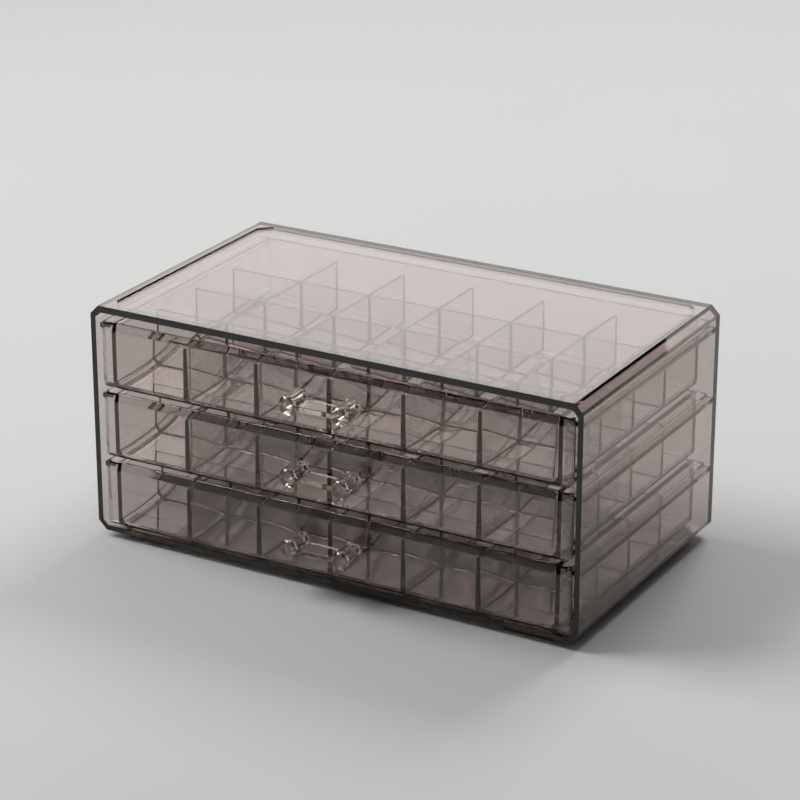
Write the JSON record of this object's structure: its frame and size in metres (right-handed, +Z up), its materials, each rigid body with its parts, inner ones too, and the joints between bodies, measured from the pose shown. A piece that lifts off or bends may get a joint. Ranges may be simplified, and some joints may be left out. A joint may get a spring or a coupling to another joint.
{
  "type": "jewellery organizer",
  "caption": "Low smoke-grey clear plastic box with stacked sliding drawers, each split by a lattice into small open compartments and pulled by a faceted bar handle.",
  "frame": {"origin": "on the surface that it stands on, under the middle of the whole object with its handles", "axes": "+X to the right along the front, -Y out of the front, +Z up"},
  "size_m": [0.235, 0.143, 0.1076],
  "materials": {
    "smoke_plastic": "clear smoke-grey gloss",
    "clear_plastic": "clear gloss"
  },
  "bodies": {
    "casing": {"casing": "smoke_plastic", "drawer_rails": "smoke_plastic", "corner_feet": "smoke_plastic"},
    "top_drawer": {"top_drawer_front": "smoke_plastic", "top_drawer_tray": "smoke_plastic", "top_drawer_long_dividers": "smoke_plastic", "top_drawer_cross_dividers": "smoke_plastic", "top_drawer_handle": "clear_plastic"},
    "middle_drawer": {"middle_drawer_front": "smoke_plastic", "middle_drawer_tray": "smoke_plastic", "middle_drawer_long_dividers": "smoke_plastic", "middle_drawer_cross_dividers": "smoke_plastic", "middle_drawer_handle": "clear_plastic"},
    "bottom_drawer": {"bottom_drawer_front": "smoke_plastic", "bottom_drawer_tray": "smoke_plastic", "bottom_drawer_long_dividers": "smoke_plastic", "bottom_drawer_cross_dividers": "smoke_plastic", "bottom_drawer_handle": "clear_plastic"}
  },
  "joints": [
    {"name": "top_drawer_slide", "type": "slide", "parent": "casing", "child": "top_drawer", "axis": [0, -1, 0], "range_m": [0, 0.1]},
    {"name": "middle_drawer_slide", "type": "slide", "parent": "casing", "child": "middle_drawer", "axis": [0, -1, 0], "range_m": [0, 0.1]},
    {"name": "bottom_drawer_slide", "type": "slide", "parent": "casing", "child": "bottom_drawer", "axis": [0, -1, 0], "range_m": [0, 0.1]}
  ]
}
